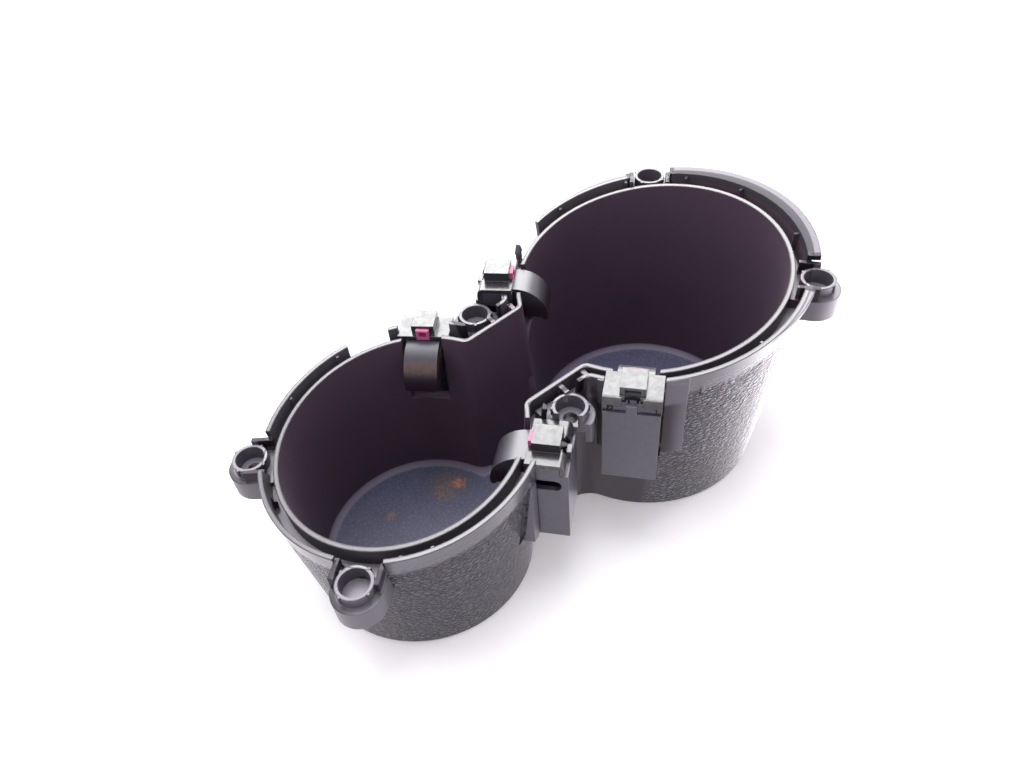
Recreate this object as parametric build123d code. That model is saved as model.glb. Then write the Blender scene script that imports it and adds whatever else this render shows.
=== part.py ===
from build123d import *
import os
from math import cos, radians, sin, tan

# A console insert with two round cups side by side, one small and one large, that open
# into each other through a throat. The moulding has a double rim with a channel, six
# screw bosses and four pockets, and each pocket holds a drop-in grip with a sprung finger.
# Frame: millimetres, Z up, X from the small cup to the large one, Y = 0 the middle plane.
# The origin is on the base, on the large cup's axis. Left is +Y.

# Cup plan and heights; the rim slopes up from the small cup to the large one
CUP_SPACING = 94.9
SMALL_RIM_R = 37.0
LARGE_RIM_R = 42.5
THROAT_HALF = 16.2
THROAT_ROUND = 4.0
LARGE_RIM_Z = 71.75
RIM_TILT = 8.3
FLOOR = 2.5
FLOOR_CHAMFER = 1.6
BASE_CHAMFER = 1.2
CUP_DRAFT = 3.3
SKIRT_DRAFT = 6.5

# Double rim: cup wall, channel and skirt wall, with the ledge at the channel's foot
WALL = 1.5
CHANNEL = 3.1
SKIRT = 1.45
SKIRT_ROUND = 3.0
SKIRT_RISE = 1.4
LEDGE_DROP = 6.5
LIP_REACH = 4.2
LIP_THICK = 1.6
RIB_WIDTH = 1.0
RIB_REACH = 0.9
SMALL_RIB_ANGLES = (91, 119, -106, -118)
LARGE_RIB_ANGLES = (92, 60, 34, 9, -27, -88, -112)
LEDGE_SLOT_LONG = 5.0
LEDGE_SLOT_WIDE = 1.8
LEDGE_SLOT_DEEP = 3.0
SMALL_SLOT_ANGLE = 170
LARGE_SLOT_ANGLE = -30
THROAT_RIBS = (2.4, 10.5)
THROAT_RIB_WIDTH = 1.6
THROAT_RIB_DROP = 0.7

# Gaps in the skirt wall's rim, as angles about each cup's axis, and the hook in one gap
SMALL_SKIRT_GAP = (66, 85)
LARGE_SKIRT_GAP = (105, 140)
HOOK_ANGLE = 121.5
HOOK_OUT = 4.4
HOOK_WIDE = 1.6
HOOK_RISE = 2.2
HOOK_HALF = 0.9
HOOK_BARB = 1.6

# Screw bosses: angles about the cups' axes, and how far each ring's axis is from the wall
SMALL_BOSS_ANGLES = (147.6, -133.8)
LARGE_BOSS_ANGLES = (49.7, -49.7)
SMALL_BOSS_OUT = 9.45
LARGE_BOSS_OUT = 8.5
THROAT_BOSS_OUT = 9.8
THROAT_BOSS_SHIFT = -4.2
BOSS_DROP = 1.0
BOSS_R = 5.3
BOSS_WALL = 1.0
BOSS_TALL = 3.5
BOSS_WELL = 5.0
BOSS_FLOOR = 2.0
BOSS_HOLE_R = 2.2
TAB_R = 7.3
TAB_TALL = 7.5
TAB_WALL = 1.6
TAB_ROOT = 7.6
BOSS_GAP = 14.0
THROAT_BOSS_GAP = 12.0
BOSS_GAP_IN = 6.2
GUSSET = 1.4
GUSSET_IN = 6.0
GUSSET_OUT = 0.5

# Grips: angles about the cups' axes, left then right, and height of the cap's shoulder
SMALL_GRIP_ANGLES = (49.8, -44.9)
LARGE_GRIP_ANGLES = (138.8, -135.6)
SMALL_GRIP_Z = 60.7
LARGE_GRIP_Z = 68.5

# Pocket in the body for each grip. Grip axes: X outward from the rim, Z = 0 on the shoulder
POCKET_GAP = 0.5
RAIL_DEEP = 4.0
THROAT_RAIL = (2.0, 30.0)
SMALL_RAIL = (3.5, 32.2)
LARGE_RAIL = (6.5, 30.0)
SHELF_OUT = 4.6
SHELF_TALL = 1.7
NOTCH_WIDE = 13.5
NOTCH_DEEP = 25.0
GROOVE_WIDE = 2.6
GROOVE_IN = -0.9
GROOVE_TOP = 13.0
GROOVE_FOOT = 31.0

# Grip housing
HOUSING_IN = 1.9
HOUSING_OUT = 14.2
HOUSING_WIDE = 16.5
HOUSING_TALL = 32.8
HOUSING_SIDE = 1.6
HOUSING_PLATE = 1.5
PLATE_TOP = 4.6
POST_WIDE = 3.2
POST_TOP = 1.6
SIDE_SLOT_IN = 3.2
SIDE_SLOT_OUT = 12.2
SIDE_SLOT_Z = 9.0
SIDE_SLOT_TALL = 4.2

# Hinge
PIVOT_X = 5.7
PIVOT_Z = -4.6
PIN_R = 1.0
PIN_SEAT = 1.0
PIN_SEAT_GAP = 0.02
PIN_RUN_GAP = 0.05

# Cap with its hood; two L-shaped legs reach down to the housing's plate
CAP_IN = 2.0
CAP_OUT = 13.4
CAP_OVER = 0.25
CAP_THICK = 1.4
CAP_ROUND = 2.0
LEG_THICK = 1.5
LEG_GAP = 6.0
LEG_LIP = 2.3
LEG_POST = 1.5
HOOD_IN = 3.3
HOOD_OUT = 11.5
HOOD_WIDE = 7.4
HOOD_TALL = 3.25
HOOD_ROOF = 1.0

# Rubber stop under the hood
STOP_WIDE = 4.3
STOP_IN = 2.1
STOP_OUT = 6.6
STOP_FOOT = 1.5
STOP_HOLE_WIDE = 2.4
STOP_HOLE_LOW = -0.3
STOP_HOLE_HIGH = 1.4
STOP_HOLE_DEEP = 3.0

# Finger, a curved flap between two cheeks
FINGER_WIDE = 11.0
CHEEK = 1.2
FINGER_THICK = 1.8
FINGER_TOP = 1.8
FINGER_ARC_R = 11.0
FINGER_ARC_X = 1.7
FINGER_SWEEP = 95
HUB_R = 2.8
SPRING_ROOM_R = 2.1
SPRING_ROOM_WIDE = 4.2

# Torsion spring on the pin, close wound
WIRE = 0.6
COIL_IN = 1.2
COIL_TURNS = 5
COIL_SIDES = 12
SPRING_HOOK = 2.6

SMALL_X = -CUP_SPACING
SLOPE = tan(radians(RIM_TILT))
SKIRT_OUT = WALL + CHANNEL + SKIRT
CAP_WIDE = HOUSING_WIDE + 2 * CAP_OVER
FAR = 25.0
UP = (Align.CENTER, Align.CENTER, Align.MIN)


def rim_z(x):
    """Height of the cup wall's rim at a place along the holder."""
    return LARGE_RIM_Z + x * SLOPE


TOP_Z = rim_z(LARGE_RIM_R + SKIRT_OUT + LIP_REACH) + SKIRT_RISE + 1
CUPS = ((SMALL_X, SMALL_RIM_R), (0.0, LARGE_RIM_R))


def above(rise):
    """The space above the rim plane, raised by a given amount."""
    slab = Box(600, 400, 200, align=UP)
    return Pos(0, 0, LARGE_RIM_Z + rise) * Rot(0, -RIM_TILT, 0) * slab


def span(x0, x1, wide, z0, z1):
    """A box from x0 to x1 and z0 to z1, with its width centred on the X axis."""
    return Pos((x0 + x1) / 2, 0, (z0 + z1) / 2) * Box(x1 - x0, wide, z1 - z0)


def twin_form(grow, corner, draft, z):
    """The twin-cup form from height z up. At the rim it lies grow outside the cups."""
    lean = tan(radians(draft))
    small = SMALL_RIM_R + grow - (rim_z(SMALL_X) - z) * lean
    large = LARGE_RIM_R + grow - (LARGE_RIM_Z - z) * lean
    middle_drop = (rim_z(SMALL_X / 2) - z) * lean
    half = THROAT_HALF + grow - middle_drop
    shape = Pos(SMALL_X, 0) * Circle(small) + Circle(large)
    shape += Pos(SMALL_X / 2, 0) * Rectangle(CUP_SPACING, 2 * half)
    corners = [v for v in shape.vertices() if abs(abs(v.Y) - half) < 0.001]
    shape = fillet(corners, corner + middle_drop)
    return extrude(Pos(0, 0, z) * shape, amount=TOP_Z - z, dir=(0, 0, 1), taper=-draft)


def foot_edges(solid, z):
    return [e for e in solid.edges() if abs(e.center().Z - z) < 0.01]


def sector(x, low, high, inner, outer):
    """A piece of a ring about a cup's axis between two angles, through the full height."""
    middle = radians((low + high) / 2)
    half = radians((high - low) / 2)
    far = outer / cos(half)
    tips = [(0, 0)]
    for angle in (middle - half, middle + half):
        tips.append((far * cos(angle), far * sin(angle)))
    face = make_face(Polyline(*tips, close=True)) - Circle(inner)
    return Pos(x, 0, 0) * extrude(face, amount=2 * TOP_Z)


def boss_places():
    """Each boss as place, through hole, gussets. Z = 0 on the ring's top, X away from the wall."""
    rows = []
    for angle in SMALL_BOSS_ANGLES:
        rows.append((SMALL_X, angle, SMALL_RIM_R + SMALL_BOSS_OUT, angle == SMALL_BOSS_ANGLES[0], True))
    for angle in LARGE_BOSS_ANGLES:
        rows.append((0.0, angle, LARGE_RIM_R + LARGE_BOSS_OUT, True, True))
    for angle in (90, -90):
        rows.append((SMALL_X / 2 + THROAT_BOSS_SHIFT, angle, THROAT_HALF + THROAT_BOSS_OUT, True, False))
    places = []
    for x, angle, reach, through, gussets in rows:
        z = rim_z(x + reach * cos(radians(angle))) - BOSS_DROP
        places.append((Pos(x, 0, z) * Rot(0, 0, angle) * Pos(reach, 0, 0), through, gussets))
    return places


def boss(gussets):
    """Ring on a tab whose skirt is hollow below, with a gusset plate on both sides if asked."""
    foot = -BOSS_TALL - TAB_TALL
    form = Pos(0, 0, foot) * Cylinder(TAB_R, TAB_TALL, align=UP)
    form += span(-TAB_ROOT, 0, 2 * TAB_R, foot, -BOSS_TALL)
    form += Pos(0, 0, foot) * Cylinder(BOSS_R, -foot, align=UP)
    if gussets:
        for side in (-1, 1):
            plate = span(-GUSSET_IN, GUSSET_OUT, GUSSET, -BOSS_TALL - GUSSET, BOSS_DROP)
            form += Pos(0, side * (BOSS_GAP / 2 - GUSSET / 2), 0) * plate
    return form


def boss_cuts(through):
    """Well in the ring, hollow under the tab and the screw hole between them."""
    cuts = Pos(0, 0, -BOSS_WELL) * Cylinder(BOSS_R - BOSS_WALL, 2 * BOSS_WELL, align=UP)
    hollow = BOSS_TALL + TAB_TALL - BOSS_WELL - BOSS_FLOOR
    cuts += Pos(0, 0, -BOSS_TALL - TAB_TALL) * Cylinder(TAB_R - TAB_WALL, hollow, align=UP)
    if through:
        cuts += Cylinder(BOSS_HOLE_R, 4 * BOSS_WELL)
    return cuts


def grip_places():
    """Each grip's place: X outward from the rim, Z = 0 on the cap's shoulder."""
    places = {}
    for side, small, large in zip(("left", "right"), SMALL_GRIP_ANGLES, LARGE_GRIP_ANGLES):
        at_small = Pos(SMALL_X, 0, SMALL_GRIP_Z) * Rot(0, 0, small)
        at_large = Pos(0, 0, LARGE_GRIP_Z) * Rot(0, 0, large)
        places[f"small_{side}"] = at_small * Pos(SMALL_RIM_R, 0, 0)
        places[f"large_{side}"] = at_large * Pos(LARGE_RIM_R, 0, 0)
    return places


def upright(profile, wide):
    """A side profile, drawn as outward and up, with its width centred on the X axis."""
    return extrude(Plane.XZ * profile, amount=wide / 2, both=True)


def rails(sign, outer):
    """Upright pads on both sides of a pocket, and the shelf below it, in the grip's axes.

    The pad away from the throat has its own width and length, given as outer.
    """
    edge = HOUSING_WIDE / 2 + POCKET_GAP
    form = span(-RAIL_DEEP, SHELF_OUT, 2 * edge, -HOUSING_TALL - SHELF_TALL, -HOUSING_TALL)
    for side, (wide, long) in ((sign, outer), (-sign, THROAT_RAIL)):
        pad = span(-RAIL_DEEP, FAR, wide + 1, -long, FAR)
        form += Pos(0, side * (edge + (wide - 1) / 2), 0) * pad
    return form


def hook():
    """Small upright post with an arrow head, in the large cup's skirt gap."""
    z = rim_z(LARGE_RIM_R * cos(radians(HOOK_ANGLE)))
    neck = HOOK_RISE - 2 * HOOK_BARB
    tips = [(-HOOK_HALF, -LEDGE_DROP - 1), (HOOK_HALF, -LEDGE_DROP - 1), (HOOK_HALF, neck),
            (HOOK_BARB, neck), (0, HOOK_RISE), (-HOOK_BARB, neck), (-HOOK_HALF, neck)]
    post = upright(make_face(Polyline(*tips, close=True)), HOOK_WIDE)
    return Rot(0, 0, HOOK_ANGLE) * Pos(LARGE_RIM_R + HOOK_OUT, 0, z) * Rot(0, 0, 90) * post


def cup_body():
    body = twin_form(SKIRT_OUT, SKIRT_ROUND, SKIRT_DRAFT, 0)
    body = chamfer(foot_edges(body, 0), BASE_CHAMFER)
    lip = Pos(LIP_REACH, 0, 0) * Cylinder(LARGE_RIM_R + SKIRT_OUT, TOP_Z, align=UP)
    body += lip & above(SKIRT_RISE - LIP_THICK)

    # Pads beside the grips stand upright below the rim, so they come out of the sloping skirt
    places = grip_places()
    for (x, radius), size, outer, turn in zip(CUPS, ("small", "large"), (SMALL_RAIL, LARGE_RAIL), (1, -1)):
        limit = Pos(x, 0, 0) * Cylinder(radius + SKIRT_OUT, TOP_Z, align=UP)
        for side, sign in (("left", 1), ("right", -1)):
            body += places[f"{size}_{side}"] * rails(sign * turn, outer) & limit
    body -= above(SKIRT_RISE)

    # The channel, and the cup wall's rim a little lower than the skirt's
    inside = twin_form(WALL + CHANNEL, SKIRT_ROUND + SKIRT, SKIRT_DRAFT, FLOOR)
    liner = twin_form(WALL, THROAT_ROUND - WALL, CUP_DRAFT, FLOOR)
    body -= inside & above(0)
    body -= (inside - liner) & above(-LEDGE_DROP)

    # Ribs on the skirt's inner face, slots in the ledge and gaps in the skirt's rim
    for (x, radius), angles in zip(CUPS, (SMALL_RIB_ANGLES, LARGE_RIB_ANGLES)):
        seat = radius + WALL + CHANNEL
        for angle in angles:
            z = rim_z(x + seat * cos(radians(angle)))
            rib = span(seat - RIB_REACH, seat + SKIRT / 2, RIB_WIDTH, z - LEDGE_DROP - 1, z + SKIRT_RISE / 2)
            body += Pos(x, 0, 0) * Rot(0, 0, angle) * rib
    for (x, radius), angle in zip(CUPS, (SMALL_SLOT_ANGLE, LARGE_SLOT_ANGLE)):
        middle = radius + WALL + CHANNEL / 2
        z = rim_z(x + middle * cos(radians(angle))) - LEDGE_DROP - LEDGE_SLOT_DEEP
        slot = extrude(SlotOverall(LEDGE_SLOT_LONG, LEDGE_SLOT_WIDE), amount=2 * LEDGE_SLOT_DEEP)
        body -= Pos(x, 0, z) * Rot(0, 0, angle) * Pos(middle, 0, 0) * Rot(0, 0, 90) * slot
    for (x, radius), (low, high) in zip(CUPS, (SMALL_SKIRT_GAP, LARGE_SKIRT_GAP)):
        gap = sector(x, low, high, radius + WALL + CHANNEL / 2, radius + SKIRT_OUT + 2)
        body -= gap & above(-LEDGE_DROP)
    body += hook()

    # Bosses stand in gaps of the skirt's rim
    for place, through, gussets in boss_places():
        gap = BOSS_GAP if gussets else THROAT_BOSS_GAP
        body -= place * span(-BOSS_GAP_IN, FAR, gap, -BOSS_TALL, FAR)
        body += place * boss(gussets)
        body -= place * boss_cuts(through)

    # Ribs across the channel beside the throat's bosses
    for side in (-1, 1):
        for shift in THROAT_RIBS:
            x = SMALL_X / 2 + THROAT_BOSS_SHIFT + shift
            low, high = rim_z(x) - LEDGE_DROP - 1, rim_z(x) - THROAT_RIB_DROP
            rib = span(THROAT_HALF + WALL / 2, THROAT_HALF + SKIRT_OUT - SKIRT / 2, THROAT_RIB_WIDTH, low, high)
            body += Pos(x, 0, 0) * Rot(0, 0, side * 90) * rib

    # Upright grooves in the skirt beside the small cup's pads
    beside = HOUSING_WIDE / 2 + POCKET_GAP + SMALL_RAIL[0] + GROOVE_WIDE / 2
    for side, sign in (("left", 1), ("right", -1)):
        groove = span(GROOVE_IN, FAR, GROOVE_WIDE, -GROOVE_FOOT, -GROOVE_TOP)
        body -= places[f"small_{side}"] * Pos(0, sign * beside, 0) * groove

    # Each grip drops into a pocket between two pads and stands on the shelf
    for place in places.values():
        body -= place * span(HOUSING_IN, FAR, HOUSING_WIDE + 2 * POCKET_GAP, -HOUSING_TALL, FAR)
        body -= place * span(-FAR, HOUSING_IN + 1, NOTCH_WIDE, -NOTCH_DEEP, FAR)

    cavity = twin_form(0, THROAT_ROUND, CUP_DRAFT, FLOOR)
    cavity = chamfer(foot_edges(cavity, FLOOR), FLOOR_CHAMFER)
    return body - cavity


def grip_housing():
    inner = HOUSING_WIDE - 2 * HOUSING_SIDE
    box = span(HOUSING_IN, HOUSING_OUT, HOUSING_WIDE, -HOUSING_TALL, -CAP_THICK)
    box -= span(HOUSING_IN - 1, HOUSING_OUT - HOUSING_PLATE, inner, -HOUSING_TALL + HOUSING_PLATE, 0)
    box -= span(CAP_OUT - LEG_THICK, HOUSING_OUT + 1, 2 * HOUSING_WIDE, -PLATE_TOP, 0)
    box += span(HOUSING_OUT - HOUSING_PLATE, HOUSING_OUT, POST_WIDE, -PLATE_TOP - 1, -POST_TOP)
    slot = SlotOverall(SIDE_SLOT_OUT - SIDE_SLOT_IN, SIDE_SLOT_TALL)
    slot = Pos((SIDE_SLOT_IN + SIDE_SLOT_OUT) / 2, -SIDE_SLOT_Z) * slot
    box -= upright(slot, 2 * HOUSING_WIDE)
    seat = Pos(PIVOT_X, PIVOT_Z) * Circle(PIN_R + PIN_SEAT_GAP)
    return box - upright(seat, inner + 2 * PIN_SEAT)


def grip_cap():
    cap = span(CAP_IN, CAP_OUT, CAP_WIDE, -CAP_THICK, 0)
    cap += span(CAP_OUT - LEG_THICK, CAP_OUT, CAP_WIDE, -PLATE_TOP, 0)
    edge = cap.edges().filter_by(Axis.Y).sort_by(Axis.X)[-2:].sort_by(Axis.Z)[-1]
    cap = fillet(edge, CAP_ROUND)
    cap -= span(CAP_OUT - LEG_THICK, CAP_OUT + 1, LEG_GAP, -PLATE_TOP - 1, 1)
    between = CAP_WIDE - 2 * LEG_POST
    cap -= span(CAP_OUT - LEG_THICK, CAP_OUT + 1, between, -PLATE_TOP - 1, -LEG_LIP)
    cap += span(HOOD_IN, HOOD_OUT, HOOD_WIDE, -CAP_THICK, HOOD_TALL)
    return cap - span(CAP_IN - 1, HOOD_OUT + 1, STOP_WIDE, -PLATE_TOP, HOOD_TALL - HOOD_ROOF)


def grip_stop():
    block = span(STOP_IN, STOP_OUT, STOP_WIDE, -STOP_FOOT, HOOD_TALL - HOOD_ROOF)
    hole = span(STOP_IN - 1, STOP_IN + STOP_HOLE_DEEP, STOP_HOLE_WIDE, STOP_HOLE_LOW, STOP_HOLE_HIGH)
    return block - hole


def grip_finger():
    """Flap that bulges into the cup, with cheeks and a hinge hub that is split for the spring."""
    inner_r = FINGER_ARC_R - FINGER_THICK
    tip = radians(90 + FINGER_SWEEP)
    reach = 3 * FINGER_ARC_R
    cut = make_face(Polyline((0, 0), (0, reach), (-reach, reach),
                             (reach * cos(tip), reach * sin(tip)), close=True))
    flap = (Circle(FINGER_ARC_R) - Circle(inner_r)) & cut
    mid_r = (FINGER_ARC_R + inner_r) / 2
    flap += Pos(mid_r * cos(tip), mid_r * sin(tip)) * Circle(FINGER_THICK / 2)
    middle = Pos(FINGER_ARC_X, -FINGER_TOP - FINGER_ARC_R)
    profile = middle * flap
    cheeks = upright(middle * (Circle(mid_r) & cut), FINGER_WIDE)
    cheeks -= span(-reach, reach, FINGER_WIDE - 2 * CHEEK, -reach, reach)
    profile += make_face(Polyline((FINGER_ARC_X, -FINGER_TOP), (PIVOT_X, -FINGER_TOP),
                                  (PIVOT_X, -FINGER_TOP - FINGER_THICK),
                                  (FINGER_ARC_X, -FINGER_TOP - FINGER_THICK), close=True))
    profile += Pos(PIVOT_X, PIVOT_Z) * Circle(HUB_R)
    finger = upright(profile, FINGER_WIDE) + cheeks
    finger -= upright(Pos(PIVOT_X, PIVOT_Z) * Circle(PIN_R + PIN_RUN_GAP), 2 * FINGER_WIDE)
    finger -= upright(Pos(PIVOT_X, PIVOT_Z) * Circle(SPRING_ROOM_R), SPRING_ROOM_WIDE)
    room_in = PIVOT_X - HUB_R - PIN_RUN_GAP
    return finger - span(room_in, PIVOT_X + FAR, SPRING_ROOM_WIDE, 2 * PIVOT_Z - HUB_R, PIVOT_Z)


def grip_pin():
    seat_to_seat = HOUSING_WIDE - 2 * HOUSING_SIDE + 2 * PIN_SEAT
    return upright(Pos(PIVOT_X, PIVOT_Z) * Circle(PIN_R), seat_to_seat)


def grip_spring():
    """Close-wound coil on the pin, with one arm on the plate and a short hook below."""
    half = COIL_TURNS * WIRE / 2
    flank = extrude(RegularPolygon(COIL_IN + WIRE / 2, COIL_SIDES), amount=WIRE / 2, taper=-45)
    turn = flank + Pos(0, 0, WIRE) * mirror(flank, Plane.XY)
    coil = turn
    for count in range(1, COIL_TURNS):
        coil += Pos(0, 0, count * WIRE) * turn
    coil -= extrude(RegularPolygon(COIL_IN, COIL_SIDES), amount=2 * COIL_TURNS * WIRE, both=True)
    coil = Pos(PIVOT_X, half, PIVOT_Z) * Rot(90, 0, 0) * coil
    low = PIVOT_Z - COIL_IN - WIRE
    arm = span(PIVOT_X, HOUSING_OUT - HOUSING_PLATE, WIRE, low + WIRE / 8, low + WIRE)
    coil += Pos(0, -half + WIRE / 2, 0) * arm
    tail = span(PIVOT_X - WIRE / 2, PIVOT_X + WIRE / 2, WIRE, PIVOT_Z - COIL_IN - SPRING_HOOK, PIVOT_Z - COIL_IN)
    return coil + Pos(0, half - WIRE / 2, 0) * tail


os.makedirs("parts", exist_ok=True)
export_step(cup_body(), "parts/cup_body.step")
PIECES = {"housing": grip_housing(), "cap": grip_cap(), "stop": grip_stop(),
          "finger": grip_finger(), "pin": grip_pin(), "spring": grip_spring()}
for grip, place in grip_places().items():
    for piece, solid in PIECES.items():
        export_step(place * solid, f"parts/grip_{piece}_{grip}.step")
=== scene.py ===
from math import cos, radians, sin
from types import SimpleNamespace

import bpy
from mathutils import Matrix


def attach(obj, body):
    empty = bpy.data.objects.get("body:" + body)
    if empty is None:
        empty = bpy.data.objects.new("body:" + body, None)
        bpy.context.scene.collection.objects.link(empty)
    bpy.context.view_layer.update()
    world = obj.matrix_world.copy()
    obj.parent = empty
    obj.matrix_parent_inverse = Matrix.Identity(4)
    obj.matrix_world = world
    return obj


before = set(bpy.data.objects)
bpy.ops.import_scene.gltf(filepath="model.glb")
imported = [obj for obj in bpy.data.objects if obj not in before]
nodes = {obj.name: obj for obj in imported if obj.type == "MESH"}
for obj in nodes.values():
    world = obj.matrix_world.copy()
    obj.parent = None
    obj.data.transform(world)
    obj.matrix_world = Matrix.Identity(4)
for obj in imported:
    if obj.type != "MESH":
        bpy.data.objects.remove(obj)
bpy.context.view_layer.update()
scene = bpy.context.scene

# Plan of the holder in millimetres, as in the part's source
SMALL_X = -94.9
THROAT_X = SMALL_X / 2
RIM_Z = 71.75
RIM_SLOPE = 0.14588
CUP_LEAN = 0.05766
SKIRT_LEAN = 0.11394
SMALL_R = 37.0
LARGE_R = 42.5
THROAT = 16.2
SKIRT_OUT = 6.05
FLOOR_Z = 2.5
WRAP_R = 43.0
BOSS_R = 5.3
BOSS_DROP = 1.0
TAB_R = 7.3
LIP_X = 4.2
LIP_EDGE = LARGE_R + SKIRT_OUT
WALL_MIDDLE = 0.75
SKIRT_MIDDLE = 0.72
SKIRT_RIM_MIDDLE = 0.75
SMALL_SHOULDER = 60.7
LARGE_SHOULDER = 68.5

# Screw bosses as the axis they are set out from, angle about it and reach
BOSSES = (
    (SMALL_X, 147.6, SMALL_R + 9.45), (SMALL_X, -133.8, SMALL_R + 9.45),
    (0.0, 49.7, LARGE_R + 8.5), (0.0, -49.7, LARGE_R + 8.5),
    (THROAT_X - 4.2, 90.0, THROAT + 9.8), (THROAT_X - 4.2, -90.0, THROAT + 9.8),
)

# Thin ribs down the outside of each boss's ring, but for one where a pocket cuts the ring
CUT_RIB = (5, 0)
RIBS = 4
RIB_TURN = -30
RIB_IN, RIB_OUT = BOSS_R - 0.2, BOSS_R + 0.45
RIB_HALF = 0.4
RIB_TALL = 2.6
BOX_FACES = (
    (0, 1, 3, 2), (4, 6, 7, 5), (0, 4, 5, 1), (2, 3, 7, 6), (0, 2, 6, 4), (1, 5, 7, 3),
)

# Rust-coloured dirt on the small cup's floor: x, y, radius and raggedness of each patch
HAZE = (-77.0, 16.0, 9.0, 0.8)
BRIGHT_RUST = (-73.6, 14.0, 3.0, 1.0)
DULL_RUST = (-80.0, 14.6, 4.5, 1.3)
LONE_RUST = (-100.3, 16.1, 2.4, 1.1)

# Colours of the moulding; a pair is its darkest and its palest tone
NEAR_WALL = ((0.038, 0.021, 0.038, 1), (0.050, 0.029, 0.050, 1))
FAR_WALL = ((0.042, 0.022, 0.042, 1), (0.053, 0.029, 0.053, 1))
# The skirt's darkest tone lies in the grain's creases: painted shade
SKIRT = ((0.010, 0.008, 0.014, 1), (0.060, 0.050, 0.078, 1))
NEAR_SLATE = ((0.007, 0.009, 0.022, 1), (0.068, 0.075, 0.136, 1))
# The far cup's floor and its edge are painted paler than the near cup's, as painted light in the
# far cup
FAR_SLATE = ((0.014, 0.014, 0.030, 1), (0.120, 0.118, 0.215, 1))
FAR_SLATE_MIDDLE = (0.018, 0.017, 0.026, 1)
# Pale band where each floor meets its wall: a painted highlight
NEAR_FLOOR_HIGHLIGHT = (0.125, 0.115, 0.165, 1)
FAR_FLOOR_HIGHLIGHT = (0.180, 0.166, 0.240, 1)
FLOOR_MARKS = (0.16, 0.16, 0.20, 1)
BETWEEN_RIMS = (0.050, 0.044, 0.057, 1)
OUTSIDE = (0.072, 0.066, 0.083, 1)
RIM = (0.055, 0.052, 0.060, 1)
# The far cup's channel is painted paler than the rest, as painted light
FAR_CHANNEL_LIT = (0.072, 0.046, 0.060, 1)
TAB = (0.082, 0.077, 0.093, 1)
# Near black on the gussets: painted shade
GUSSET_SHADE = (0.012, 0.009, 0.014, 1)
# The ledge is painted pale as painted light on it
LEDGE_LIT = (0.160, 0.148, 0.175, 1)
# Darker wall at the waist: painted shade
WAIST_SHADE = (0.024, 0.018, 0.025, 1)
HAZE_BROWN = (0.082, 0.058, 0.045, 1)
DULL_ORANGE = (0.150, 0.080, 0.048, 1)
BRIGHT_ORANGE = (0.330, 0.120, 0.042, 1)
SHEEN_TINT = (0.98, 0.91, 1.0, 1)
RIM_TINT = (1.0, 0.985, 1.0, 1)

# Colours of the grips, as above
GRIP = (0.045, 0.039, 0.058)
CAP = (0.022, 0.020, 0.025)
STOP = (0.44, 0.085, 0.21)
FINGER_TOP = ((0.030, 0.027, 0.038, 1), (0.046, 0.042, 0.058, 1))
# Finger tip colour: painted shade
FINGER_TIP_SHADE = (0.020, 0.012, 0.020, 1)
FINGER_STAIN = (0.100, 0.052, 0.036, 1)
STEEL = ((0.42, 0.42, 0.43, 1), (0.58, 0.58, 0.59, 1))

# Shine of a plastic, as the shader's Specular IOR Level
PLAIN_SHINE = 0.5
STAINED_SHINE = 0.25
TIP_SHINE = 0.12
SHADED_SHINE = 0.06
LEAST_SHINE = 0.04

# Floor and surroundings: their light to the eye, in reflections and as a lamp
FLOOR_WHITE = (0.86, 0.84, 0.87, 1)
FLOOR_GLOW = (1.0, 0.96, 1.0, 1)
FLOOR_SIZE = 6.0
FLOOR_BELOW = 0.0002
FLOOR_SEEN = 0.22
FLOOR_SHEEN = 0.4
POOL_SHEEN = 4.0
NEAR_POOL_SHEEN = 0.5
ROOM_WHITE = (1.0, 0.99, 1.0, 1)
ROOM_SEEN = 1.0
ROOM_SHEEN = 2.0
ROOM_LIGHT = 0.9

# Soft lights, all aimed at one place: name, place, size, power, and whether only for sheen
LIGHTS_AIM = (-0.045, 0.0, 0.05)
LIGHTS = (
    ("sky", (0.31, 0.61, 0.76), (1.2, 1.2), 58.0, True),
    ("window", (-0.40, 0.55, 0.85), (0.7, 0.7), 4.0, False),
    ("side", (0.90, -0.20, 0.25), (0.6, 0.5), 3.0, False),
    ("ceiling", (-0.045, 0.02, 1.0), (0.4, 0.4), 5.0, False),
)

# Camera from a fit to the photo
CAMERA_PLACE = (-0.14237, -0.15309, 0.23078)
CAMERA_TURN = (44.6926, 4.1277, -33.8098)
CAMERA_SENSOR = 36.0
CAMERA_LENS = 27.937


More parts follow.
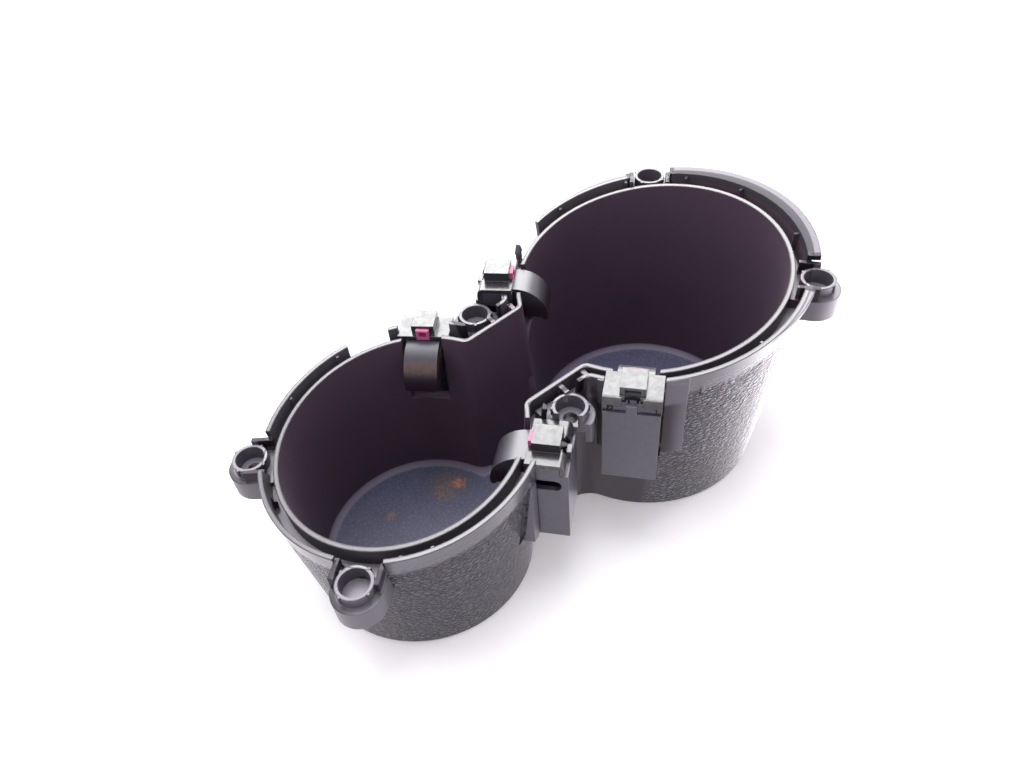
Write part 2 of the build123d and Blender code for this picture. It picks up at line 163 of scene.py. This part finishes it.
class Shader:
    """A material under construction. Numbers go on a node's own socket, sockets are linked."""

    def __init__(self, name):
        self.material = bpy.data.materials.new(name)
        self.material.use_nodes = True
        self.tree = self.material.node_tree
        self.principled = self.tree.nodes["Principled BSDF"]
        self.place = None

    def put(self, socket, value):
        if isinstance(value, bpy.types.NodeSocket):
            self.tree.links.new(value, socket)
        else:
            socket.default_value = value

    def set(self, **values):
        for name, value in values.items():
            self.put(self.principled.inputs[name.replace("_", " ")], value)

    def node(self, kind, **settings):
        made = self.tree.nodes.new(kind)
        for name, value in settings.items():
            setattr(made, name, value)
        return made

    def math(self, operation, *values):
        made = self.node("ShaderNodeMath", operation=operation)
        for socket, value in zip(made.inputs, values):
            self.put(socket, value)
        return made.outputs[0]

    def times(self, value, *others):
        """The product of several values."""
        for other in others:
            value = self.math("MULTIPLY", value, other)
        return value

    def without(self, value):
        """1 where value is 0, and 0 where it is 1."""
        return self.math("SUBTRACT", 1.0, value)

    def off(self, value, middle):
        """How far value is from middle, to either side."""
        return self.math("ABSOLUTE", self.math("SUBTRACT", value, middle))

    def smooth(self, value, low, high):
        """0 below low, 1 above high and a soft step between; low may be above high."""
        made = self.node("ShaderNodeMapRange", interpolation_type="SMOOTHSTEP")
        flip = low > high
        self.put(made.inputs["Value"], value)
        made.inputs["From Min"].default_value = min(low, high)
        made.inputs["From Max"].default_value = max(low, high)
        made.inputs["To Min"].default_value = 1.0 if flip else 0.0
        made.inputs["To Max"].default_value = 0.0 if flip else 1.0
        return made.outputs["Result"]

    def span(self, value, low, high):
        """A straight change from low to high while value goes from 0 to 1."""
        made = self.node("ShaderNodeMapRange")
        self.put(made.inputs["Value"], value)
        made.inputs["To Min"].default_value = low
        made.inputs["To Max"].default_value = high
        return made.outputs["Result"]

    def mix(self, factor, first, second):
        made = self.node("ShaderNodeMix", data_type="RGBA")
        self.put(made.inputs[0], factor)
        self.put(made.inputs[6], first)
        self.put(made.inputs[7], second)
        return made.outputs[2]

    def coords(self):
        """The row frame in millimetres, as a vector and as x, y and z."""
        if self.place is None:
            texture = self.node("ShaderNodeTexCoord")
            scale = self.node("ShaderNodeVectorMath", operation="SCALE")
            self.put(scale.inputs[0], texture.outputs["Object"])
            scale.inputs["Scale"].default_value = 1000.0
            parts = self.node("ShaderNodeSeparateXYZ")
            self.put(parts.inputs[0], scale.outputs[0])
            self.place = (scale.outputs[0], *parts.outputs)
        return self.place

    def stretch(self, vector, x, y, z):
        made = self.node("ShaderNodeVectorMath", operation="MULTIPLY")
        self.put(made.inputs[0], vector)
        made.inputs[1].default_value = (x, y, z)
        return made.outputs[0]

    def noise(self, vector, scale, detail=3.0, rough=0.5, distortion=0.0):
        made = self.node("ShaderNodeTexNoise")
        self.put(made.inputs["Vector"], vector)
        made.inputs["Scale"].default_value = scale
        made.inputs["Detail"].default_value = detail
        made.inputs["Roughness"].default_value = rough
        made.inputs["Distortion"].default_value = distortion
        return made.outputs[0]

    def noise_vector(self, vector, scale, reach):
        """The vector, pushed about by noise of a given size."""
        made = self.node("ShaderNodeTexNoise")
        self.put(made.inputs["Vector"], vector)
        made.inputs["Scale"].default_value = scale
        centred = self.node("ShaderNodeVectorMath", operation="SUBTRACT")
        self.put(centred.inputs[0], made.outputs["Color"])
        centred.inputs[1].default_value = (0.5, 0.5, 0.5)
        scaled = self.node("ShaderNodeVectorMath", operation="SCALE")
        self.put(scaled.inputs[0], centred.outputs[0])
        scaled.inputs["Scale"].default_value = reach
        added = self.node("ShaderNodeVectorMath", operation="ADD")
        self.put(added.inputs[0], vector)
        self.put(added.inputs[1], scaled.outputs[0])
        return added.outputs[0]

    def cells(self, vector, scale):
        """Distance from the edges of a pattern of cells."""
        made = self.node("ShaderNodeTexVoronoi", feature="DISTANCE_TO_EDGE")
        self.put(made.inputs["Vector"], vector)
        made.inputs["Scale"].default_value = scale
        return made.outputs["Distance"]

    def soft_edges(self, radius):
        """A normal that rounds sharp edges, radius in millimetres."""
        made = self.node("ShaderNodeBevel", samples=6)
        made.inputs["Radius"].default_value = radius / 1000
        return made.outputs[0]

    def bump(self, height, depth, normal, strength=1.0):
        """A normal bent by a height from 0 to 1 that stands for depth millimetres."""
        made = self.node("ShaderNodeBump")
        made.inputs["Distance"].default_value = depth / 1000
        self.put(made.inputs["Strength"], strength)
        self.put(made.inputs["Height"], height)
        self.put(made.inputs["Normal"], normal)
        return made.outputs[0]


def far_from(s, x0, y0):
    """Distance in plan from a place."""
    vector, x, y, z = s.coords()
    dx = s.math("SUBTRACT", x, x0)
    dy = s.math("SUBTRACT", y, y0)
    return s.math("SQRT", s.math("ADD", s.times(dx, dx), s.times(dy, dy)))


def twin_distance(s, grow, lean):
    """Distance outside the twin-cup form, with its walls leaning in below the rim."""
    vector, x, y, z = s.coords()
    drop = s.math("MULTIPLY", z, lean)
    small_foot = SMALL_R + grow - (RIM_Z + SMALL_X * RIM_SLOPE) * lean
    large_foot = LARGE_R + grow - RIM_Z * lean
    throat_foot = THROAT + grow - (RIM_Z + THROAT_X * RIM_SLOPE) * lean
    small = s.math("SUBTRACT", s.math("SUBTRACT", far_from(s, SMALL_X, 0.0), small_foot), drop)
    large = s.math("SUBTRACT", s.math("SUBTRACT", far_from(s, 0.0, 0.0), large_foot), drop)
    across = s.math("ABSOLUTE", y)
    throat = s.math("SUBTRACT", s.math("SUBTRACT", across, throat_foot), drop)

    # The throat counts only between the cups' axes
    past_an_axis = s.math("MAXIMUM", x, s.math("SUBTRACT", SMALL_X, x))
    past_an_axis = s.math("MAXIMUM", past_an_axis, 0.0)
    throat = s.math("ADD", throat, s.math("MULTIPLY", past_an_axis, 9.0))
    return s.math("MINIMUM", s.math("MINIMUM", small, large), throat)


def wrapped(s):
    """Millimetres along the skirt and up it, with the joins hidden at the throat."""
    vector, x, y, z = s.coords()
    small_side = s.math("LESS_THAN", x, THROAT_X)
    turned = s.math("SUBTRACT", s.math("SUBTRACT", SMALL_X, x), x)
    outward = s.math("ADD", x, s.math("MULTIPLY", small_side, turned))
    along = s.math("MULTIPLY", s.math("ARCTAN2", y, outward), WRAP_R)
    made = s.node("ShaderNodeCombineXYZ")
    s.put(made.inputs[0], along)
    s.put(made.inputs[1], z)
    s.put(made.inputs[2], s.math("MULTIPLY", small_side, WRAP_R))
    return made.outputs[0]


def facing_up(s):
    """1 on level faces that look up, 0 on walls."""
    geometry = s.node("ShaderNodeNewGeometry")
    parts = s.node("ShaderNodeSeparateXYZ")
    s.put(parts.inputs[0], geometry.outputs["Normal"])
    return s.smooth(parts.outputs[2], 0.75, 0.95)


def boss_place(boss):
    """Where a boss's axis stands in plan."""
    x0, angle, reach = boss
    return x0 + reach * cos(radians(angle)), reach * sin(radians(angle))


def boss_distance(s):
    """Distance in plan from the nearest screw boss's axis."""
    nearest = 1000.0
    for boss in BOSSES:
        nearest = s.math("MINIMUM", far_from(s, *boss_place(boss)), nearest)
    return nearest


def spot(s, x0, y0, radius, ragged):
    """1 inside a ragged round spot on the floor, and 0 outside."""
    vector, x, y, z = s.coords()
    edge = s.math("SUBTRACT", s.noise(vector, 0.9, 4.0, 0.65), 0.5)
    far = s.math("ADD", far_from(s, x0, y0), s.math("MULTIPLY", edge, 2 * ragged * radius))
    return s.smooth(far, radius, 0.35 * radius)


def body_regions(s):
    """Each region of the moulding as a value from 0 to 1, with its edges in millimetres."""
    vector, x, y, z = s.coords()
    inner = twin_distance(s, 0.0, CUP_LEAN)
    outer = twin_distance(s, SKIRT_OUT, SKIRT_LEAN)
    rim_z = s.math("ADD", s.math("MULTIPLY", x, RIM_SLOPE), RIM_Z)
    below_rim = s.math("SUBTRACT", rim_z, z)
    level = facing_up(s)
    far_cup = s.smooth(x, -49.0, -45.0)

    # Inside the cups, and in the notches behind the fingers
    notch = s.times(
        s.smooth(inner, 3.4, 3.0), s.smooth(below_rim, 9.0, 10.0), s.smooth(outer, -0.6, -1.0)
    )
    inside = s.math("MAXIMUM", s.smooth(inner, 1.35, 1.1), notch)
    inside = s.times(inside, s.smooth(z, FLOOR_Z - 1.5, FLOOR_Z - 0.5))
    floor = s.times(inside, s.smooth(z, FLOOR_Z + 0.3, FLOOR_Z + 0.1))
    # A band up the fillet where floor meets wall, painted pale as a highlight
    floor_edge_highlight = s.smooth(z, FLOOR_Z + 2.2, FLOOR_Z + 0.4)
    floor_edge_highlight = s.times(floor_edge_highlight, s.smooth(inner, -2.5, -1.3), inside)
    floor_middle = s.times(s.smooth(inner, -14.0, -25.0), far_cup)

    # Tops of the two walls, which shine along their middle, and what lies between them
    wall_rim = s.smooth(inner, 1.9, 1.6)
    skirt_rim = s.smooth(s.off(outer, -SKIRT_RIM_MIDDLE), 1.1, 0.8)
    rim = s.times(s.math("MAXIMUM", wall_rim, skirt_rim), s.smooth(below_rim, 2.6, 2.0), level)
    off_middle = s.math("MINIMUM", s.off(inner, WALL_MIDDLE), s.off(outer, -SKIRT_MIDDLE))
    shoulder = s.times(rim, s.smooth(off_middle, 0.28, 0.55))
    ledge = s.times(level, s.smooth(below_rim, 5.2, 5.8), s.smooth(below_rim, 8.0, 7.2))
    channel = s.times(s.smooth(inner, 1.7, 2.0), s.smooth(outer, -0.9, -1.2))
    channel = s.times(channel, far_cup, s.smooth(below_rim, 0.5, 0.8))

    # The lip at the large cup's end, with a brighter band along its edge
    lip_band = s.smooth(far_from(s, LIP_X, 0.0), LIP_EDGE - 2.1, LIP_EDGE - 1.7)
    lip = s.times(s.smooth(x, 33.0, 38.0), s.smooth(below_rim, 1.2, 0.6))
    lip = s.times(lip, s.without(s.times(lip_band, 0.6)), s.smooth(inner, 1.9, 2.3))

    # Tabs and gussets of the bosses; the gussets and the gap between them are painted dark as
    # shade
    from_boss = boss_distance(s)
    tab = s.times(
        s.smooth(from_boss, TAB_R + 0.6, TAB_R + 0.2), s.smooth(from_boss, BOSS_R, BOSS_R + 0.3),
        s.smooth(below_rim, 2.4, 3.4),
    )
    gusset = s.times(
        s.smooth(from_boss, BOSS_R + 0.3, BOSS_R + 0.6),
        s.smooth(from_boss, TAB_R + 1.6, TAB_R + 1.2),
        s.smooth(below_rim, 4.2, 3.4), s.smooth(inner, 2.5, 3.2),
    )

    # The skirt, with grain below its smooth band and none at the waist, where the wall is painted
    # darker as shade
    outside = s.smooth(outer, -0.8, -0.5)
    on_skirt = s.smooth(s.math("ABSOLUTE", outer), 0.55, 0.35)
    waist = s.smooth(s.off(x, THROAT_X), 26.0, 20.0)
    grained = s.times(on_skirt, s.smooth(below_rim, 4.4, 7.0), s.without(waist))
    shaded_waist_wall = s.times(waist, s.smooth(below_rim, 7.5, 9.0), outside, s.without(tab))
    return SimpleNamespace(
        below_rim=below_rim, far_cup=far_cup, inside=inside, floor=floor, floor_edge_highlight=floor_edge_highlight,
        floor_middle=floor_middle, rim=rim, shoulder=shoulder, ledge=ledge, channel=channel,
        lip=lip, tab=tab, gusset=gusset, outside=outside, on_skirt=on_skirt, grained=grained,
        shaded_waist_wall=shaded_waist_wall,
    )


def leather_grain(s):
    """Wavy creases at 0 between flat islands at 1, longer along the wall than up it."""
    skin = wrapped(s)
    large = s.noise_vector(s.stretch(skin, 0.55, 1.0, 1.0), 0.5, 1.0)
    creases = s.smooth(s.cells(large, 0.80), 0.02, 0.36)
    small = s.noise_vector(s.stretch(skin, 0.6, 1.0, 1.0), 0.9, 0.7)
    wrinkles = s.smooth(s.cells(small, 1.7), 0.0, 0.3)
    return s.math("ADD", s.times(creases, 0.75), s.times(wrinkles, 0.25))


def floor_grain(s):
    """Soft pebbles with grit over them."""
    vector, x, y, z = s.coords()
    pebbles = s.smooth(s.cells(s.noise_vector(vector, 0.6, 1.4), 0.6), 0.0, 0.35)
    grit = s.noise(vector, 0.9, 6.0, 0.85)
    return s.math("ADD", s.times(pebbles, 0.24), s.times(grit, 0.76))


def floor_colour(s, at, grain, tone, colour):
    """The cups' floors over a colour: slate, a pale edge painted as a highlight, specks and
    scratches.
    """
    vector, x, y, z = s.coords()
    # The far cup's slate is paler than the near cup's: painted light
    slate = s.mix(at.far_cup, s.mix(grain, *NEAR_SLATE), s.mix(grain, *FAR_SLATE))
    slate = s.mix(s.times(at.floor_middle, 0.75), slate, FAR_SLATE_MIDDLE)
    colour = s.mix(at.floor, colour, slate)
    pale = s.mix(at.far_cup, NEAR_FLOOR_HIGHLIGHT, FAR_FLOOR_HIGHLIGHT)
    colour = s.mix(s.times(at.floor_edge_highlight, s.span(tone, 0.5, 1.0)), colour, pale)
    specks = s.smooth(s.noise(vector, 3.1, 2.0, 0.5), 0.66, 0.74)
    scratched = s.stretch(s.noise_vector(vector, 0.08, 9.0), 0.25, 2.2, 1.0)
    scratches = s.smooth(s.noise(scratched, 0.8, 2.0), 0.66, 0.72)
    marks = s.times(s.math("MAXIMUM", specks, s.times(scratches, 0.6)), at.floor)
    return s.mix(s.times(marks, 0.18), colour, FLOOR_MARKS)


def rusty(s, at, colour):
    """Rust-coloured dirt on the small cup's floor, a brown haze with orange crumbs."""
    vector, x, y, z = s.coords()
    crumbs = s.smooth(s.noise(vector, 0.75, 5.0, 0.75), 0.44, 0.58)
    haze = s.times(spot(s, *HAZE), at.floor)
    colour = s.mix(s.times(haze, s.span(crumbs, 0.30, 0.85)), colour, HAZE_BROWN)
    dull = s.math("MAXIMUM", spot(s, *DULL_RUST), spot(s, *LONE_RUST))
    dull = s.times(dull, at.floor, s.span(crumbs, 0.05, 0.65))
    colour = s.mix(dull, colour, DULL_ORANGE)
    rust = s.times(spot(s, *BRIGHT_RUST), at.floor)
    return s.mix(s.times(rust, s.span(crumbs, 0.25, 0.95)), colour, BRIGHT_ORANGE)


def body_plastic():
    """The dark moulding: grained skirt, smooth walls and rims, dirty floors."""
    s = Shader("body_plastic")
    vector, x, y, z = s.coords()
    at = body_regions(s)
    leather = leather_grain(s)
    floor_grit = floor_grain(s)
    tone = s.noise(vector, 0.06, 3.0)

    wall = s.mix(at.far_cup, s.mix(tone, *NEAR_WALL), s.mix(tone, *FAR_WALL))
    colour = s.mix(at.inside, s.mix(at.outside, BETWEEN_RIMS, OUTSIDE), wall)
    colour = s.mix(s.times(at.rim, 0.8), colour, RIM)
    # Painted light: the far cup's channel is paler
    colour = s.mix(at.channel, colour, FAR_CHANNEL_LIT)
    colour = s.mix(at.tab, colour, TAB)
    # Gussets painted near black as shade
    colour = s.mix(at.gusset, colour, GUSSET_SHADE)
    # Painted light: the ledge's level faces are paler
    colour = s.mix(s.times(at.ledge, 0.8), colour, LEDGE_LIT)
    # Waist wall painted darker as shade
    colour = s.mix(at.shaded_waist_wall, colour, WAIST_SHADE)
    # Skirt grain, its creases painted dark as shade
    colour = s.mix(at.grained, colour, s.mix(leather, *SKIRT))
    colour = floor_colour(s, at, floor_grit, tone, colour)
    colour = rusty(s, at, colour)

    # Two fine steps run along the skirt's smooth band
    step = s.math("ADD", s.smooth(at.below_rim, 4.25, 4.05), s.smooth(at.below_rim, 2.75, 2.6))
    normal = s.soft_edges(0.45)
    normal = s.bump(leather, 0.60, normal, at.grained)
    normal = s.bump(step, 0.18, normal, at.on_skirt)
    normal = s.bump(s.noise(vector, 5.0, 2.0, 0.6), 0.05, normal, s.span(at.inside, 0.25, 0.6))
    normal = s.bump(floor_grit, 0.12, normal, at.floor)

    rough = s.math("ADD", s.span(at.inside, 0.40, 0.58), s.times(tone, 0.08))
    rough = s.math("SUBTRACT", rough, s.times(at.on_skirt, 0.22))
    polished = s.times(at.rim, s.without(at.lip))
    rough = s.math("SUBTRACT", rough, s.times(polished, 0.3))
    rough = s.math("MAXIMUM", rough, 0.22)

    shaded = s.math("MAXIMUM", at.lip, s.times(at.gusset, 0.8))
    shaded = s.math("MAXIMUM", shaded, s.times(at.shoulder, 0.8))
    shaded = s.math("MAXIMUM", shaded, s.times(at.shaded_waist_wall, 0.75))
    # Creases shine less, as painted shade
    shaded_creases = s.times(at.grained, s.math("SUBTRACT", 0.72, leather))
    shine = s.math("SUBTRACT", s.span(shaded, PLAIN_SHINE, SHADED_SHINE), s.times(shaded_creases, 0.52))
    s.set(Base_Color=colour, Roughness=rough, Normal=normal)
    s.set(Specular_Tint=s.mix(at.rim, SHEEN_TINT, RIM_TINT))
    s.set(Specular_IOR_Level=s.math("MAXIMUM", shine, LEAST_SHINE))
    return s.material


def plain_plastic(name, colour, rough, edge, grain, smudge=0.06):
    """Smooth moulding with a faint grain, smudged sheen and soft edges."""
    s = Shader(name)
    vector, x, y, z = s.coords()
    cloud = s.noise(vector, 0.25, 4.0, 0.6)
    touched = s.noise(vector, 0.55, 5.0, 0.65, 0.8)
    dark = tuple(c * 0.85 for c in colour) + (1,)
    pale = tuple(min(1.0, c * 1.25) for c in colour) + (1,)
    dull, bright = PLAIN_SHINE - 0.9 * smudge, PLAIN_SHINE + 0.8 * smudge
    s.set(Base_Color=s.mix(cloud, dark, pale))
    s.set(Roughness=s.span(touched, rough - smudge, rough + smudge))
    s.set(Specular_IOR_Level=s.span(s.smooth(touched, 0.35, 0.65), dull, bright))
    s.set(Normal=s.bump(s.noise(vector, 6.0, 2.0), grain, s.soft_edges(edge)))
    return s.material


def finger_plastic(name, shoulder, stained):
    """Finger moulding, darker towards its tip as painted shade. One finger has a brown stain
    across its face.
    """
    s = Shader(name)
    vector, x, y, z = s.coords()
    cloud = s.noise(vector, 0.5, 4.0, 0.65)
    drop = s.math("SUBTRACT", shoulder, z)
    # Painted shade: the finger darkens and shines less towards its tip
    colour = s.mix(s.smooth(drop, 4.0, 10.0), s.mix(cloud, *FINGER_TOP), FINGER_TIP_SHADE)
    if stained:
        band = s.times(s.smooth(drop, 3.6, 5.0), s.smooth(drop, 8.6, 6.4))
        band = s.times(band, s.smooth(s.noise(vector, 0.8, 5.0, 0.7), 0.2, 0.7))
        colour = s.mix(s.times(band, 0.7), colour, FINGER_STAIN)
    shine = STAINED_SHINE if stained else PLAIN_SHINE
    s.set(Base_Color=colour, Roughness=s.span(cloud, 0.30, 0.44))
    s.set(Specular_IOR_Level=s.span(s.smooth(drop, 5.0, 11.0), shine, TIP_SHINE))
    s.set(Normal=s.bump(s.noise(vector, 6.0, 2.0), 0.01, s.soft_edges(0.3)))
    return s.material


def steel():
    """Drawn wire and pin."""
    s = Shader("steel")
    vector, x, y, z = s.coords()
    drawn = s.noise(s.stretch(vector, 6.0, 6.0, 0.6), 2.0, 3.0)
    s.set(Base_Color=s.mix(drawn, *STEEL), Metallic=1.0, Roughness=s.span(drawn, 0.28, 0.42))
    return s.material


def white_floor():
    """Pale floor that reflections see brighter, most of all in a pool of light on the right."""
    s = Shader("white_floor")
    vector, x, y, z = s.coords()
    path = s.node("ShaderNodeLightPath")
    sheen = s.math("ADD", s.times(s.smooth(x, -10.0, 65.0), POOL_SHEEN), FLOOR_SHEEN)
    sheen = s.math("ADD", s.times(s.smooth(x, -80.0, -40.0), NEAR_POOL_SHEEN), sheen)
    glow = s.math(
        "ADD", s.times(path.outputs["Is Camera Ray"], FLOOR_SEEN),
        s.times(path.outputs["Is Glossy Ray"], sheen),
    )
    s.set(Base_Color=FLOOR_WHITE, Roughness=0.7, Specular_IOR_Level=0.2)
    s.set(Emission_Color=FLOOR_GLOW, Emission_Strength=glow)
    return s.material


def boss_ribs(material):
    """All the ribs on the boss rings as one piece."""
    points, faces = [], []
    for number, boss in enumerate(BOSSES):
        middle_x, middle_y = boss_place(boss)
        top = RIM_Z + middle_x * RIM_SLOPE - BOSS_DROP
        for rib in range(RIBS):
            if (number, rib) == CUT_RIB:
                continue
            turn = radians(boss[1] + RIB_TURN + 360 / RIBS * rib)
            first = len(points)
            faces += [tuple(first + i for i in face) for face in BOX_FACES]
            for out in (RIB_IN, RIB_OUT):
                for across in (-RIB_HALF, RIB_HALF):
                    x = middle_x + out * cos(turn) - across * sin(turn)
                    y = middle_y + out * sin(turn) + across * cos(turn)
                    for z in (top - RIB_TALL, top):
                        points.append((x / 1000, y / 1000, z / 1000))
    mesh = bpy.data.meshes.new("boss_ribs")
    mesh.from_pydata(points, [], faces)
    mesh.materials.append(material)
    ribs = bpy.data.objects.new("boss_ribs", mesh)
    scene.collection.objects.link(ribs)
    return ribs


def white_room():
    """White surroundings: white to the camera, brighter to reflections, softer as a light."""
    world = bpy.data.worlds.new("white_room")
    scene.world = world
    world.use_nodes = True
    tree = world.node_tree
    back = tree.nodes["Background"]
    back.inputs["Color"].default_value = ROOM_WHITE
    path = tree.nodes.new("ShaderNodeLightPath")
    level = tree.nodes.new("ShaderNodeMapRange")
    level.inputs["To Min"].default_value = ROOM_LIGHT
    level.inputs["To Max"].default_value = ROOM_SHEEN
    tree.links.new(path.outputs["Is Glossy Ray"], level.inputs["Value"])
    seen = tree.nodes.new("ShaderNodeMix")
    tree.links.new(path.outputs["Is Camera Ray"], seen.inputs[0])
    tree.links.new(level.outputs["Result"], seen.inputs[2])
    seen.inputs[3].default_value = ROOM_SEEN
    tree.links.new(seen.outputs[0], back.inputs["Strength"])


def soft_light(name, place, size, power, sheen_only):
    """A soft rectangular light. A sheen-only one shows in reflections and lights nothing else."""
    lamp = bpy.data.lights.new(name, "AREA")
    lamp.shape = "RECTANGLE"
    lamp.size, lamp.size_y = size
    lamp.energy = power
    holder = bpy.data.objects.new(name, lamp)
    scene.collection.objects.link(holder)
    holder.visible_diffuse = not sheen_only
    holder.location = place
    aim = bpy.data.objects.new(name + "_aim", None)
    scene.collection.objects.link(aim)
    aim.location = LIGHTS_AIM
    turn = holder.constraints.new("TRACK_TO")
    turn.target = aim
    turn.track_axis = "TRACK_NEGATIVE_Z"
    turn.up_axis = "UP_Y"


# Every CAD node takes the material with the longest fitting name
metal = steel()
materials = {
    "cup_body": body_plastic(),
    "grip_housing": plain_plastic("grip_plastic", GRIP, 0.34, 0.45, 0.012, 0.05),
    "grip_cap": plain_plastic("cap_plastic", CAP, 0.22, 0.3, 0.006, 0.10),
    "grip_stop": plain_plastic("stop_rubber", STOP, 0.6, 0.15, 0.02),
    "grip_pin": metal,
    "grip_spring": metal,
    "grip_finger_small_left": finger_plastic("finger_plastic_stained", SMALL_SHOULDER, True),
    "grip_finger_small_right": finger_plastic("finger_plastic_small", SMALL_SHOULDER, False),
    "grip_finger_large": finger_plastic("finger_plastic_large", LARGE_SHOULDER, False),
}
for name, node in nodes.items():
    kind = max((k for k in materials if name.startswith(k)), key=len)
    node.data.materials.clear()
    node.data.materials.append(materials[kind])

ribs = boss_ribs(materials["cup_body"])
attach(ribs, "holder")

# Plain pale floor under the base
bpy.ops.mesh.primitive_plane_add(size=FLOOR_SIZE, location=(0, 0, -FLOOR_BELOW))
floor = bpy.context.object
floor.name = "floor"
floor.data.materials.append(white_floor())

white_room()
for light in LIGHTS:
    soft_light(*light)

camera = bpy.data.objects.new("camera", bpy.data.cameras.new("camera"))
scene.collection.objects.link(camera)
camera.location = CAMERA_PLACE
camera.rotation_euler = [radians(angle) for angle in CAMERA_TURN]
camera.data.sensor_width = CAMERA_SENSOR
camera.data.lens = CAMERA_LENS
scene.camera = camera
scene.view_settings.view_transform = "Standard"
